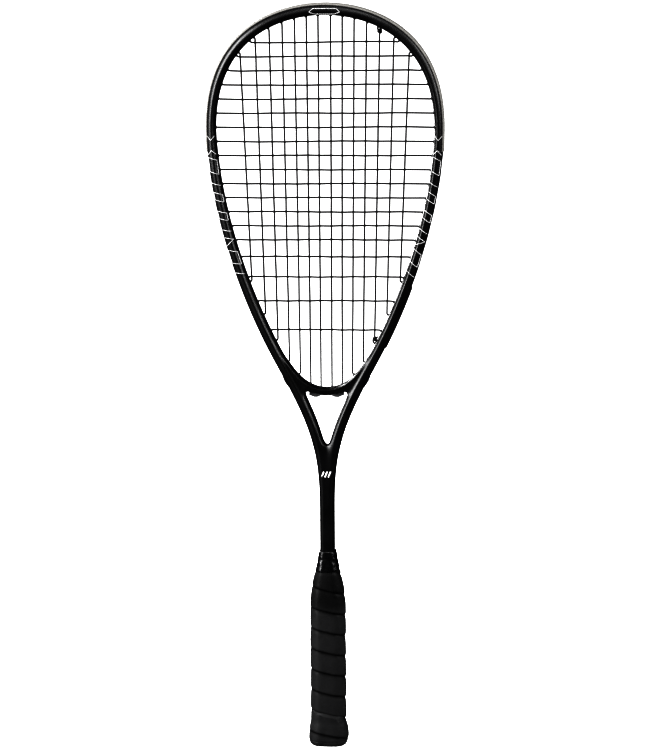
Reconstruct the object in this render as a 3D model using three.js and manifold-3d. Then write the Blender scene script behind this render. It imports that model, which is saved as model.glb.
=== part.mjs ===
// Squash racket: one hairpin of carbon tube makes the head hoop, the two arms and the shaft, and a
// moulded bridge closes the head. Grommet strips line the string holes, and one continuous string
// makes the bed. A foam handle, a butt cap, a wound grip and a finishing tape close the shaft's end.
//
// Millimetres. +Z runs from the butt to the tip of the head, the strings lie in the XZ plane, and Y is
// the racket's depth. The origin is the middle of the butt cap's flat end face.

import * as THREE from 'three';
import { mergeVertices } from 'three/addons/utils/BufferGeometryUtils.js';
import Module from 'manifold-3d';

const wasm = await Module();
wasm.setup();

// ---- Driving dimensions ------------------------------------------------------------------------

const racketLength = 685;
const headWidth = 217;
const gap = 0.3;

const tube = {
  wall: 1.4,
  // In-plane half width and half depth of one leg of the hairpin, at heights along the racket. The
  // hoop is slimmer where the bumper guard sits on it.
  halfWidth: [
    [235, 3.3], [283, 4.95], [335, 4.95], [400, 4.7], [548, 4.4], [565, 3.9], [590, 3.9], [684, 4.8],
  ],
  halfDepth: [[235, 9.5], [335, 10], [400, 9.4], [684, 9.2]],
  bottom: 3.5,
};
// Corners of half a section, from the inner side to the outer side, in half widths and half depths.
const shaftSection = [[-1, 1], [-0.5, 1], [0.35, 0.94], [0.8, 0.74], [1, 0.42], [1, 0.15]];
const armSection = [[-1, 0.45], [-0.45, 0.95], [0, 1], [0.8, 0.68], [1, 0.42], [1, 0.15]];
const hoopSection = [[-1, 0.45], [-0.45, 0.95], [0, 1], [0.85, 0.65], [1, 0.43], [0.45, 0.375]];
const shaftEndsAt = 268;
const armStartsAt = 330;
const grooveStartsAt = [326, 334];

const bumper = {
  proudAtTop: 1.3,
  proudAtEnds: 0.7,
  endsAt: 551,
  rimHalf: 5,
  skirt: { start: 0.85, thickness: 0.4, clearance: 0.35, outerHalf: 6.3, innerHalf: 6 },
};
const strip = { floor: 0.8, endsAt: 337, floorHalf: 3.1, channelHalf: 2.35, flare: 0.4 };
const barrel = { half: 1.4, bore: 0.9, reach: 1, start: 0.1 };

const mains = { perSide: 7, first: 5.7, pitch: 10.55, widening: 0.036, narrowing: 0.885 };
const crosses = { count: 19, top: 649.3, pitch: 12.8, even: 14, growth: 1.2 };
const string = { radius: 0.6, sides: 5, weave: 1.55, channelSide: 1.5, lift: 1.5 };
const knot = { radius: 1.7, fromMouth: 2.2, tail: 1.05 };

const bridge = { top: 334.4, bottom: 327.6, halfDepth: 8.6, bevel: 2 };
const bridgeGrooveSize = { depth: 2.2, half: 3.45, length: 50 };
const throatPlate = { length: 34, cheekRadius: 7.8, cheekDrop: 1.5, cheekSides: 24 };

const handle = { coneStart: 133, top: 170 };
const capCup = { floor: 3, top: 22 };
const grip = { pitch: 19.5, thickness: 1.55, edge: 1.6, bottom: 4.8, top: 169.5 };
const finishing = { bottom: 164, top: 183, thickness: 0.45 };
const staple = { width: 9, leg: 3.6, wire: 0.7, tall: 1.2, height: 13, crownAt: 13.85 };

// ---- Solids and small helpers ------------------------------------------------------------------

const { lerp, smoothstep } = THREE.MathUtils;
const at = (x, y, z) => new THREE.Vector3(x, y, z);

function toSolid(geometry) {
  const bare = geometry.clone();
  bare.deleteAttribute('normal');
  bare.deleteAttribute('uv');
  const merged = mergeVertices(bare, 1e-4);
  const mesh = { numProp: 3, vertProperties: merged.attributes.position.array, triVerts: merged.index.array };
  return new wasm.Manifold(new wasm.Mesh(mesh));
}

function toGeometry(solid) {
  const mesh = solid.getMesh();
  const geometry = new THREE.BufferGeometry();
  geometry.setAttribute('position', new THREE.BufferAttribute(mesh.vertProperties, 3));
  geometry.setIndex(new THREE.BufferAttribute(mesh.triVerts, 1));
  return geometry;
}

const join = (solids) => solids.reduce((whole, solid) => whole.add(solid));

// A table of [height, value] pairs read with straight lines between its rows.
function valueAt(table, z) {
  const next = table.findIndex(([height]) => height > z);
  if (next === 0) return table[0][1];
  if (next < 0) return table[table.length - 1][1];
  const [z0, v0] = table[next - 1];
  const [z1, v1] = table[next];
  return lerp(v0, v1, (z - z0) / (z1 - z0));
}

// Where an increasing function crosses zero.
function solve(rising, low, high) {
  let from = low;
  let to = high;
  for (let step = 0; step < 40; step += 1) {
    const middle = (from + to) / 2;
    if (rising(middle) < 0) from = middle;
    else to = middle;
  }
  return (from + to) / 2;
}

// Skin over rings of equal point counts. The flat outline of the end rings closes both ends, and its
// first axis, second axis and the direction of travel are right-handed.
function loft(rings, outline) {
  const count = rings[0].length;
  const last = (rings.length - 1) * count;
  const next = THREE.ShapeUtils.isClockWise(outline) ? count - 1 : 1;
  const faces = [];
  for (let ring = 0; ring < rings.length - 1; ring += 1) {
    for (let k = 0; k < count; k += 1) {
      const a = ring * count + k;
      const b = ring * count + (k + next) % count;
      faces.push(a, b, b + count, a, b + count, a + count);
    }
  }
  for (const [a, b, c] of THREE.ShapeUtils.triangulateShape(outline, [])) {
    faces.push(a, c, b, last + a, last + b, last + c);
  }
  const geometry = new THREE.BufferGeometry();
  const positions = rings.flat().flatMap((point) => point.toArray());
  geometry.setAttribute('position', new THREE.Float32BufferAttribute(positions, 3));
  geometry.setIndex(faces);
  return geometry;
}

function mirrored(geometry) {
  const copy = geometry.clone().scale(-1, 1, 1);
  const index = Array.from(copy.index.array);
  for (let k = 0; k < index.length; k += 3) {
    [index[k], index[k + 1]] = [index[k + 1], index[k]];
  }
  return copy.setIndex(index);
}

// A square bar between two points of the string plane, with two of its sides facing front and back.
function squareBar(half, from, to) {
  const axis = to.clone().sub(from);
  const geometry = new THREE.BoxGeometry(2 * half, axis.length(), 2 * half);
  const front = at(0, 1, 0);
  const along = axis.clone().normalize();
  const basis = new THREE.Matrix4().makeBasis(front, along, front.clone().cross(along));
  const middle = from.clone().add(to).multiplyScalar(0.5);
  return toSolid(geometry.applyMatrix4(basis).translate(middle.x, middle.y, middle.z));
}

function block(width, depth, height, x, y, z) {
  return toSolid(new THREE.BoxGeometry(width, depth, height).translate(x, y, z));
}

// ---- The hairpin's centreline ------------------------------------------------------------------

// The right leg of the centreline: up from the shaft, out along the arm, round the head to its tip.
const legSpacing = tube.halfWidth[0][1];
const widestHeight = 572;
const headTop = racketLength - bumper.proudAtTop - gap - tube.halfWidth.at(-1)[1];
const headSide = headWidth / 2 - bumper.proudAtEnds - gap - valueAt(tube.halfWidth, widestHeight);
const shaftTop = at(legSpacing, 0, 235);
const armBend = at(39.6, 0, 354.8);
const armLean = at(0.56, 0, 1).normalize();
const widest = at(headSide, 0, widestHeight);
const tip = at(0, 0, headTop);

function bezier(start, startHandle, end, endHandle) {
  const c1 = start.clone().add(startHandle);
  const c2 = end.clone().add(endHandle);
  return new THREE.CubicBezierCurve3(start, c1, c2, end);
}

const leg = new THREE.CurvePath();
leg.add(bezier(shaftTop, at(0, 0, 44), armBend, armLean.clone().multiplyScalar(-62)));
leg.add(bezier(armBend, armLean.clone().multiplyScalar(93), widest, at(0, 0, -50)));
leg.add(bezier(widest, at(0, 0, 84), tip, at(43, 0, 0)));
const legLength = leg.getLength();

// A place on the hairpin: q runs 0 to 1 up the right leg and 1 to 2 down the left leg.
function station(q) {
  const right = q <= 1;
  const along = right ? q : 2 - q;
  const centre = leg.getPoint(along);
  const tangent = leg.getTangent(along);
  const width = valueAt(tube.halfWidth, centre.z);
  const depth = valueAt(tube.halfDepth, centre.z);
  const outward = at(tangent.z, 0, -tangent.x);
  if (along === 1) outward.set(0, 0, 1);
  if (!right) {
    centre.x *= -1;
    outward.x *= -1;
  }
  return { q, centre, outward, width, depth };
}

const place = ({ centre, outward }, across, deep) =>
  centre.clone().addScaledVector(outward, across).add(at(0, deep, 0));

const bothSides = (half) => [...half, ...half.map(([across, deep]) => [across, -deep]).reverse()];

const flat = (section) => section.map(([across, deep]) => new THREE.Vector2(across, deep));

// ---- Frame tube --------------------------------------------------------------------------------

const mix = (from, to, amount) =>
  from.map(([across, deep], k) => [lerp(across, to[k][0], amount), lerp(deep, to[k][1], amount)]);

function tubeSection(z) {
  const arm = mix(shaftSection, armSection, smoothstep(z, shaftEndsAt, armStartsAt));
  return bothSides(mix(arm, hoopSection, smoothstep(z, ...grooveStartsAt)));
}

// The legs flatten against each other in the middle plane, so no point crosses x = 0.
function keepRight(point) {
  point.x = Math.max(point.x, 0);
  return point;
}

const ringCount = 36;

function outerRing(spot, grow) {
  return tubeSection(spot.centre.z).map(([across, deep]) =>
    keepRight(place(spot, across * (spot.width + grow), deep * (spot.depth + grow))));
}

// Outer skin of one leg, or of one leg grown by a clearance.
function legSkin(grow = 0) {
  const spots = Array.from({ length: ringCount + 1 }, (_, k) => station(k / ringCount));
  const foot = station(0);
  foot.centre.z = tube.bottom - grow;
  const rings = [foot, ...spots].map((spot) => outerRing(spot, grow));
  return loft(rings, flat(tubeSection(headTop)));
}

// The legs' hollow: it stays under the groove's floor and leaves the wall all round.
function legHollow() {
  const half = [[-1, 0.36], [-0.3, 0.84], [0.16, 0.8]];
  const spots = Array.from({ length: ringCount / 2 + 1 }, (_, k) => station(2 * k / ringCount));
  const foot = station(0);
  foot.centre.z = tube.bottom - 1;
  const rings = [foot, ...spots].map((spot) => bothSides(half).map(([across, deep]) => {
    const point = place(spot, across * (spot.width - tube.wall), deep * spot.depth);
    point.x = Math.max(point.x, spot.q < 1 ? tube.wall : 0);
    return point;
  }));
  return loft(rings, flat(bothSides(half)));
}

function bothLegs(geometry) {
  return toSolid(geometry).add(toSolid(mirrored(geometry)));
}

// ---- String holes ------------------------------------------------------------------------------

// The groove's floor is the last corner of the hoop's section.
const grooveFloor = (spot) => hoopSection.at(-1)[0] * spot.width + gap;
const channel = (spot) => grooveFloor(spot) + strip.floor + gap + string.radius;
const mouthReach = barrel.reach + 1;

const mouth = (spot, extra = 0) => place(spot, -spot.width - mouthReach - extra, 0);

// A hole through the hoop, whose barrel may reach further in than most.
function hoopHole(q, extra = 0) {
  const spot = station(q);
  return {
    q,
    mouth: mouth(spot, extra),
    exit: place(spot, channel(spot), 0),
    barrelStart: place(spot, grooveFloor(spot) + barrel.start, 0),
    barrelEnd: place(spot, -spot.width - barrel.reach - extra, 0),
    outside: place(spot, spot.width + 3, 0),
  };
}

const sideOf = (q, side) => (side > 0 ? q : 2 - q);
const widestAt = solve((q) => leg.getPoint(q).z - widest.z, 0.3, 0.9);

const mainX = (number) => mains.first + mains.pitch * number + mains.widening * number ** 3;

// The bridge's upper edge: flat in the middle, then rising into the arms.
const bridgeEdge = new THREE.CubicBezierCurve(
  new THREE.Vector2(0, bridge.top),
  new THREE.Vector2(17, bridge.top),
  new THREE.Vector2(28, 346),
  new THREE.Vector2(38, 363.5),
);
const bridgeRoof = bridge.bottom + bridgeGrooveSize.depth;
const bridgeChannel = bridgeRoof - gap - strip.floor - gap - string.radius;

function bridgeHole(x) {
  const t = solve((value) => bridgeEdge.getPoint(value).x - Math.abs(x), 0, 1);
  const edge = bridgeEdge.getPoint(t).y;
  return {
    mouth: at(x, 0, edge + mouthReach),
    exit: at(x, 0, bridgeChannel),
    barrelStart: at(x, 0, bridgeRoof - gap - barrel.start),
    barrelEnd: at(x, 0, edge + barrel.reach),
    outside: at(x, 0, bridge.bottom - 3),
  };
}

function topHole(number, side) {
  const q = solve((value) => mainX(number) - mouth(station(value)).x, widestAt, 1);
  return hoopHole(sideOf(q, side));
}

// The next main after those on the bridge goes through the bridge's thick root as well as the arm.
const mainsOnBridge = 2;
const rootReach = 3.2;

function bottomHole(number, side) {
  const x = mainX(number) * mains.narrowing;
  if (number < mainsOnBridge) return bridgeHole(x * side);
  const extra = number === mainsOnBridge ? rootReach : 0;
  const q = solve((value) => mouth(station(value), extra).x - x, 0, widestAt);
  return hoopHole(sideOf(q, side), extra);
}

const numbers = (count) => Array.from({ length: count }, (_, k) => k);

// Mains are numbered from the middle outwards on each side.
const mainHoles = {};
for (const side of [-1, 1]) {
  mainHoles[side] = numbers(mains.perSide).map((number) => ({
    top: topHole(number, side),
    bottom: bottomHole(number, side),
  }));
}

// Crosses are numbered from the top. They are evenly spaced, then open out towards the throat.
const crossHeights = [crosses.top];
for (let pitch = crosses.pitch; crossHeights.length < crosses.count;) {
  if (crossHeights.length > crosses.even) pitch *= crosses.growth;
  crossHeights.push(crossHeights.at(-1) - pitch);
}
const crossHoles = crossHeights.map((z) => {
  const q = solve((value) => mouth(station(value)).z - z, 0.15, 1);
  return { z, [-1]: hoopHole(2 - q), [1]: hoopHole(q) };
});

// The two tie-off holes open beside the fifth main on the right, where the string's ends are knotted.
const tieMain = 4;
const tieSpacing = 2.6 / legLength;
const topTie = hoopHole(mainHoles[1][tieMain].top.q + tieSpacing);
const bottomTie = hoopHole(mainHoles[1][tieMain].bottom.q - tieSpacing);

const allMainHoles = [-1, 1].flatMap((side) => mainHoles[side].flatMap(({ top, bottom }) => [top, bottom]));
const allCrossHoles = crossHoles.flatMap((cross) => [cross[-1], cross[1]]);
const allHoles = [...allMainHoles, ...allCrossHoles, topTie, bottomTie];
const onHoop = allHoles.filter((hole) => hole.q !== undefined);
const onBridge = allHoles.filter((hole) => hole.q === undefined);

const drill = (holes, half) => join(holes.map((hole) => squareBar(half, hole.outside, hole.mouth)));

const drilled = drill(allHoles, barrel.half + gap);
const frameTube = bothLegs(legSkin()).subtract(bothLegs(legHollow())).subtract(drilled);

// ---- Throat bridge -----------------------------------------------------------------------------

function bridgeBody() {
  const right = bridgeEdge.getPoints(7);
  const underside = new THREE.CubicBezierCurve(
    new THREE.Vector2(18.6, 325),
    new THREE.Vector2(22, 334),
    new THREE.Vector2(17, bridge.bottom + 2.4),
    new THREE.Vector2(10, bridge.bottom),
  ).getPoints(5);
  const half = [...right, new THREE.Vector2(42, 361), new THREE.Vector2(23.5, 322), ...underside];
  const left = half.slice(1).reverse().map(({ x, y }) => new THREE.Vector2(-x, y));
  const depth = 2 * (bridge.halfDepth - bridge.bevel);
  const extruded = new THREE.ExtrudeGeometry(new THREE.Shape([...half, ...left]), {
    depth,
    bevelThickness: bridge.bevel,
    bevelSize: bridge.bevel,
    bevelOffset: -bridge.bevel,
    bevelSegments: 1,
  });
  return toSolid(extruded.translate(0, 0, -depth / 2).rotateX(Math.PI / 2));
}

const grooveCut = 20;
const bridgeGroove = block(
  bridgeGrooveSize.length, 2 * bridgeGrooveSize.half, grooveCut, 0, 0, bridgeRoof - grooveCut / 2);
const throatBridge = bridgeBody().subtract(bothLegs(legSkin(gap))).subtract(bridgeGroove).subtract(drilled);

// ---- Grommet strips and bumper guard -----------------------------------------------------------

function stripSection(spot) {
  const floor = grooveFloor(spot);
  return bothSides([
    [floor + strip.floor, strip.channelHalf],
    [spot.width, strip.channelHalf + strip.flare],
    [spot.width, strip.floorHalf + strip.flare],
    [floor, strip.floorHalf],
  ]);
}

function bumperSection(spot) {
  const along = smoothstep(spot.centre.z, bumper.endsAt, headTop);
  const proud = lerp(bumper.proudAtEnds, bumper.proudAtTop, along);
  const { start, thickness, clearance, outerHalf, innerHalf } = bumper.skirt;
  const floor = grooveFloor(spot);
  const lip = spot.width + gap;
  const skirt = start * spot.width + clearance;
  return bothSides([
    [floor + strip.floor, strip.channelHalf],
    [lip + proud, strip.channelHalf + strip.flare],
    [lip + proud, bumper.rimHalf],
    [skirt + thickness, outerHalf],
    [skirt, innerHalf],
    [lip, bumper.rimHalf - 2 * thickness],
    [lip, strip.floorHalf + strip.flare],
    [floor, strip.floorHalf],
  ]);
}

// A strip along the groove between two places on the hairpin.
function grooveStrip(section, from, to, steps) {
  const spots = numbers(steps + 1).map((k) => station(lerp(from, to, k / steps)));
  const rings = spots.map((spot) => section(spot).map(([across, deep]) => place(spot, across, deep)));
  return toSolid(loft(rings, flat(section(spots[0]))));
}

function withBarrels(base, holes) {
  const barrels = join(holes.map((hole) => squareBar(barrel.half, hole.barrelStart, hole.barrelEnd)));
  return base.add(barrels).subtract(drill(holes, barrel.bore));
}

const atHeight = (z) => solve((q) => station(q).centre.z - z, 0, 1);
const bumperEnd = atHeight(bumper.endsAt);
const stripTop = bumperEnd - 1 / legLength;
const stripBottom = atHeight(strip.endsAt);

const holesBetween = (from, to) => onHoop.filter(({ q }) => q > from && q < to);

const bumperSteps = 30;
const sideSteps = 14;
const bumperBase = grooveStrip(bumperSection, bumperEnd, 2 - bumperEnd, bumperSteps);
const bumperGuard = withBarrels(bumperBase, holesBetween(bumperEnd, 2 - bumperEnd));

function sideStrip(from, to) {
  return withBarrels(grooveStrip(stripSection, from, to, sideSteps), holesBetween(from, to));
}

const stripRight = sideStrip(stripBottom, stripTop);
const stripLeft = sideStrip(2 - stripTop, 2 - stripBottom);

// The throat strip: a flat plate in the bridge's groove, with two pairs of half-round cheeks that
// guard the string where it turns under the bridge.
function throatStrip() {
  const top = bridgeRoof - gap;
  const plate = block(throatPlate.length, 2 * strip.floorHalf, strip.floor, 0, 0, top - strip.floor / 2);
  const cheekThickness = strip.floorHalf - strip.channelHalf;
  const cheekY = (strip.floorHalf + strip.channelHalf) / 2;
  const middle = (mainX(0) + mainX(1)) / 2 * mains.narrowing;
  const cheeks = [-1, 1].flatMap((side) => [-1, 1].map((face) => {
    const { cheekRadius, cheekDrop, cheekSides } = throatPlate;
    const cheekMiddle = bridge.bottom - cheekDrop + cheekRadius;
    const disc = new THREE.CylinderGeometry(cheekRadius, cheekRadius, cheekThickness, cheekSides);
    return toSolid(disc.translate(side * middle, face * cheekY, cheekMiddle));
  }));
  const above = block(2 * throatPlate.length, grooveCut, grooveCut, 0, 0, top + grooveCut / 2);
  return withBarrels(join([plate, ...cheeks]).subtract(above), onBridge);
}

// ---- String ------------------------------------------------------------------------------------

// A path through set points: its steps fall exactly on the points, and its direction at each is the
// mean of the stretches on either side.
class StringPath extends THREE.Curve {
  constructor(points) {
    super();
    this.points = points;
  }

  getPointAt(u, target = new THREE.Vector3()) {
    return target.copy(this.points[Math.round(u * (this.points.length - 1))]);
  }

  getTangentAt(u, target = new THREE.Vector3()) {
    const last = this.points.length - 1;
    const k = Math.round(u * last);
    const here = this.points[k];
    const before = here.clone().sub(this.points[Math.max(k - 1, 0)]).normalize();
    const after = this.points[Math.min(k + 1, last)].clone().sub(here).normalize();
    return target.copy(before).add(after).normalize();
  }
}

const stringSection = new THREE.Shape(numbers(string.sides).map((k) => {
  const angle = 2 * Math.PI * k / string.sides;
  return new THREE.Vector2(string.radius * Math.cos(angle), string.radius * Math.sin(angle));
}));

function stringSolid(points) {
  return toSolid(new THREE.ExtrudeGeometry(stringSection, {
    steps: points.length - 1,
    extrudePath: new StringPath(points),
  }));
}

// The string's run in the channel outside the hoop, from one hole to the next. It keeps to one side of
// the channel, or crosses to the other side half-way, or lifts over other runs.
function channelRun(from, to, startSide, endSide = startSide, lift = 0) {
  const travel = Math.sign(to.q - from.q);
  const inset = string.channelSide * travel / legLength;
  const distance = Math.abs(to.q - from.q) * legLength;
  const steps = Math.max(2, Math.round(distance / 10));
  return numbers(steps + 1).map((k) => {
    const spot = station(lerp(from.q + inset, to.q - inset, k / steps));
    const side = k < steps / 2 ? startSide : endSide;
    return place(spot, channel(spot) + lift, side * string.channelSide);
  });
}

function bridgeRun(from, to) {
  const inset = string.channelSide * Math.sign(to.exit.x - from.exit.x);
  const side = at(inset, string.channelSide, 0);
  return [from.exit.clone().add(side), to.exit.clone().add(side).add(at(-2 * inset, 0, 0))];
}

const mainXAt = (number, side, z) => {
  const { top, bottom } = mainHoles[side][number];
  const share = (z - bottom.mouth.z) / (top.mouth.z - bottom.mouth.z);
  return share < 0 || share > 1 ? undefined : lerp(bottom.mouth.x, top.mouth.x, share);
};

// One cross from the left hole to the right: over one main, under the next.
function crossPoints(cross, number) {
  const middle = [];
  for (let column = -mains.perSide; column < mains.perSide; column += 1) {
    const side = column < 0 ? -1 : 1;
    const x = mainXAt(column < 0 ? -1 - column : column, side, cross.z);
    const over = (column + number) % 2 === 0 ? 1 : -1;
    if (x !== undefined && Math.abs(x) < cross[1].mouth.x - 2) {
      middle.push(at(x, over * string.weave, cross.z));
    }
  }
  return [cross[-1].exit, cross[-1].mouth, ...middle, cross[1].mouth, cross[1].exit];
}

// Where each end is knotted round the tie-off main, a little inside its hole.
function knotPoint(from, to) {
  return from.clone().add(to.clone().sub(from).setLength(knot.fromMouth));
}

const tie = mainHoles[1][tieMain];
const topKnot = knotPoint(tie.top.mouth, tie.bottom.mouth);
const bottomKnot = knotPoint(tie.bottom.mouth, tie.top.mouth);
const tailEnd = (middle, hole) => middle.clone().add(hole.mouth.clone().sub(middle).setLength(knot.tail));

// One continuous string: it starts at the lower knot, makes the right mains from the outside in, the
// left mains from the inside out, then the crosses from the throat up, and ends at the upper knot.
function stringRoute() {
  const outermost = mains.perSide - 1;
  const route = [tailEnd(bottomKnot, bottomTie), bottomTie.mouth, bottomTie.exit];
  route.push(...channelRun(bottomTie, mainHoles[1][outermost].bottom, 0, 0, string.lift));
  for (const side of [1, -1]) {
    const order = numbers(mains.perSide).map((k) => (side > 0 ? outermost - k : k));
    order.forEach((number, k) => {
      const { top, bottom } = mainHoles[side][number];
      const upward = k % 2 === 0 ? side > 0 : side < 0;
      const first = upward ? bottom : top;
      const second = upward ? top : bottom;
      route.push(first.exit, first.mouth, second.mouth, second.exit);
      const next = mainHoles[side][order[k + 1]];
      if (!next) return;
      const landing = upward ? next.top : next.bottom;
      route.push(...(landing.q === undefined ? bridgeRun(second, landing) : channelRun(second, landing, 1)));
    });
    if (side > 0) route.push(...channelRun(mainHoles[1][0].top, mainHoles[-1][0].top, 1));
  }
  const lowest = crossHoles.length - 1;
  route.push(...channelRun(mainHoles[-1][outermost].bottom, crossHoles[lowest][-1], 1, -1));
  for (let number = lowest; number >= 0; number -= 1) {
    const points = crossPoints(crossHoles[number], number);
    const rightward = (lowest - number) % 2 === 0;
    route.push(...(rightward ? points : points.reverse()));
    const side = rightward ? 1 : -1;
    if (number > 0) route.push(...channelRun(crossHoles[number][side], crossHoles[number - 1][side], -1));
  }
  route.push(...channelRun(crossHoles[0][1], topTie, -1), topTie.exit, topTie.mouth, tailEnd(topKnot, topTie));
  return route;
}

const knotSolid = ({ x, y, z }) => toSolid(new THREE.IcosahedronGeometry(knot.radius, 1).translate(x, y, z));
const stringBed = join([stringSolid(stringRoute()), knotSolid(topKnot), knotSolid(bottomKnot)]);

// ---- Handle ------------------------------------------------------------------------------------

// Corners of a long-sided octagon: the handle's section.
function octagon({ halfWidth, halfDepth, corner }, grow = 0) {
  const w = halfWidth + grow;
  const d = halfDepth + grow;
  const c = corner + grow * (2 - Math.SQRT2);
  const quarter = [[w, d - c], [w - c, d]];
  const right = [[w, -(d - c)], ...quarter, [-(w - c), d]];
  return [...right, ...right.map(([x, y]) => [-x, -y])];
}

function octagonLoft(levels, grow = 0) {
  const rings = levels.map(([z, size]) => octagon(size, grow).map(([x, y]) => at(x, y, z)));
  return toSolid(loft(rings, flat(octagon(levels[0][1], grow))));
}

const size = (halfWidth, halfDepth, corner) => ({ halfWidth, halfDepth, corner });
const body = size(14.5, 12.5, 6.5);
const coneMiddle = size(12.6, 12, 5.8);
const coneTop = size(8.1, 10.9, 4.4);
const cup = size(13.5, 11.6, 6);
const cupFit = size(cup.halfWidth - gap, cup.halfDepth - gap, cup.corner);
const capLedge = size(16.1, 14.3, 6.6);
const capRim = size(17.6, 15.8, 7.2);
const capFace = size(14, 12.2, 6);
const capShoulder = size(16.3, 14.5, 6.8);
const shaftSize = size(6.9, 9.8, 3);
const coneMiddleAt = 150;
const ledgeTop = 11;

const shellLevels = [
  [tube.bottom, cupFit], [capCup.top + gap, cupFit], [capCup.top + gap, body],
  [handle.coneStart, body], [coneMiddleAt, coneMiddle], [handle.top, coneTop],
];
const capLevels = [
  [0, capFace], [1, capShoulder], [2.6, capRim], [grip.bottom - gap, capRim],
  [grip.bottom - gap, capLedge], [ledgeTop, capLedge], [capCup.top, body],
];
const wrapLevels = [
  [grip.bottom - gap, capLedge], [ledgeTop, capLedge], [capCup.top, body],
  [handle.coneStart, body], [coneMiddleAt, coneMiddle], [handle.top, coneTop], [finishing.top, shaftSize],
];

// Staples through the cap's wide faces, their crowns sunk flush under the grip.
function stapleSolid(face, grow = 0) {
  const outer = staple.width / 2 + grow;
  const wire = staple.wire + 2 * grow;
  const back = staple.leg + grow;
  const shape = new THREE.Shape([
    [-outer, -grow], [outer, -grow], [outer, back], [outer - wire, back],
    [outer - wire, wire - grow], [wire - outer, wire - grow], [wire - outer, back], [-outer, back],
  ].map(([x, y]) => new THREE.Vector2(x, y)));
  const geometry = new THREE.ExtrudeGeometry(shape, { depth: staple.tall + 2 * grow, bevelEnabled: false });
  geometry.translate(0, -staple.crownAt, staple.height - staple.tall / 2 - grow);
  return toSolid(face < 0 ? geometry : geometry.rotateZ(Math.PI));
}

const stapleSlots = stapleSolid(-1, gap).add(stapleSolid(1, gap));
// The room for the shaft has no rib where the two legs meet.
const shaftRoom = bothLegs(legSkin(gap)).add(block(8, 18, 190, 0, 0, 95));
const shell = octagonLoft(shellLevels).subtract(shaftRoom).subtract(stapleSlots);
const halfSpace = (side) => block(60, 60, 400, 0, side * (30 - gap / 2), 100);
const shellFront = shell.subtract(halfSpace(1));
const shellBack = shell.subtract(halfSpace(-1));

const cupHollow = octagonLoft([[capCup.floor, cup], [capCup.top + 5, cup]]);
const buttCap = octagonLoft(capLevels).subtract(cupHollow).subtract(stapleSlots);

// ---- Grip tape ---------------------------------------------------------------------------------

function wrapSize(z) {
  const table = (key) => valueAt(wrapLevels.map(([height, level]) => [height, level[key]]), z);
  return size(table('halfWidth'), table('halfDepth'), table('corner'));
}

// A ribbon wound up the handle with its edges side by side, then trimmed level at both ends.
function gripRibbon() {
  const width = grip.pitch - gap;
  const outer = gap + grip.thickness;
  const profile = [
    [0, -0.8], [0, outer - 0.6], [grip.edge, outer], [width / 2, outer],
    [width - grip.edge, outer], [width, outer - 0.6], [width, -0.8], [width / 2, -0.8],
  ];
  const start = grip.bottom - grip.pitch;
  const turns = (grip.top - start) / grip.pitch;
  const rings = numbers(Math.ceil(turns * 8) + 1).map((k) => profile.map(([rise, grow]) => {
    const z = start + grip.pitch * k / 8 + rise;
    const [x, y] = octagon(wrapSize(z), grow)[k % 8];
    return at(x, y, z);
  }));
  const outline = profile.map(([rise, grow]) => new THREE.Vector2(-grow, rise));
  const slab = block(80, 80, grip.top - grip.bottom, 0, 0, (grip.top + grip.bottom) / 2);
  return toSolid(loft(rings, outline)).intersect(slab);
}

const gripTape = gripRibbon().subtract(octagonLoft(wrapLevels, gap));

// ---- Finishing tape ----------------------------------------------------------------------------

// A band over the grip's upper end and the foot of the bare shaft.
function finishingTape() {
  const over = gap + grip.thickness + gap;
  const cornerShare = 2 - Math.SQRT2;
  const grown = (level, grow) =>
    size(level.halfWidth + grow, level.halfDepth + grow, level.corner + cornerShare * grow);
  const inner = [
    [finishing.bottom, grown(wrapSize(finishing.bottom), over)],
    [grip.top + gap, grown(wrapSize(grip.top), over)],
    [grip.top + 4, shaftSize],
    [finishing.top, shaftSize],
  ];
  const room = [[finishing.bottom - 5, inner[0][1]], ...inner, [finishing.top + 5, shaftSize]];
  return octagonLoft(inner, finishing.thickness).subtract(octagonLoft(room));
}

// ---- Assembly ----------------------------------------------------------------------------------

const finish = (color, roughness, metalness = 0) => ({ color, roughness, metalness });
const lacquer = finish(0x0b0b0c, 0.35);
const nylon = finish(0x1a1a1b, 0.5);
const foam = finish(0x2a2a2a, 0.9);
const steel = finish(0xb8b8b8, 0.3, 1);

const racket = new THREE.Group();
racket.name = 'squash_racket';

const parts = [
  ['frame_tube', frameTube, lacquer],
  ['throat_bridge', throatBridge, lacquer],
  ['bumper_guard', bumperGuard, nylon],
  ['grommet_strip_left', stripLeft, nylon],
  ['grommet_strip_right', stripRight, nylon],
  ['grommet_strip_throat', throatStrip(), finish(0x4a4a4c, 0.5)],
  ['string_bed', stringBed, finish(0x101011, 0.3)],
  ['handle_shell_front', shellFront, foam],
  ['handle_shell_back', shellBack, foam],
  ['butt_cap', buttCap, nylon],
  ['butt_cap_staple_front', stapleSolid(-1), steel],
  ['butt_cap_staple_back', stapleSolid(1), steel],
  ['grip_tape', gripTape, finish(0x1b1b1c, 0.75)],
  ['finishing_tape', finishingTape(), finish(0x0d0d0e, 0.25)],
];

for (const [name, solid, look] of parts) {
  const mesh = new THREE.Mesh(toGeometry(solid), new THREE.MeshStandardMaterial(look));
  mesh.name = name;
  racket.add(mesh);
}

export default racket;
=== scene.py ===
"""Squash racket: a lacquered carbon frame, nylon grommets, one continuous string and a wound grip.

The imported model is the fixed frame. Shapes below are worked out in millimetres, in that frame, and
turned into metres when a mesh is made. +Z runs up the racket, the strings lie in the XZ plane.
"""

import math

import bmesh
import bpy
import numpy as np
from mathutils import Matrix, Vector
from mathutils.bvhtree import BVHTree


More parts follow.
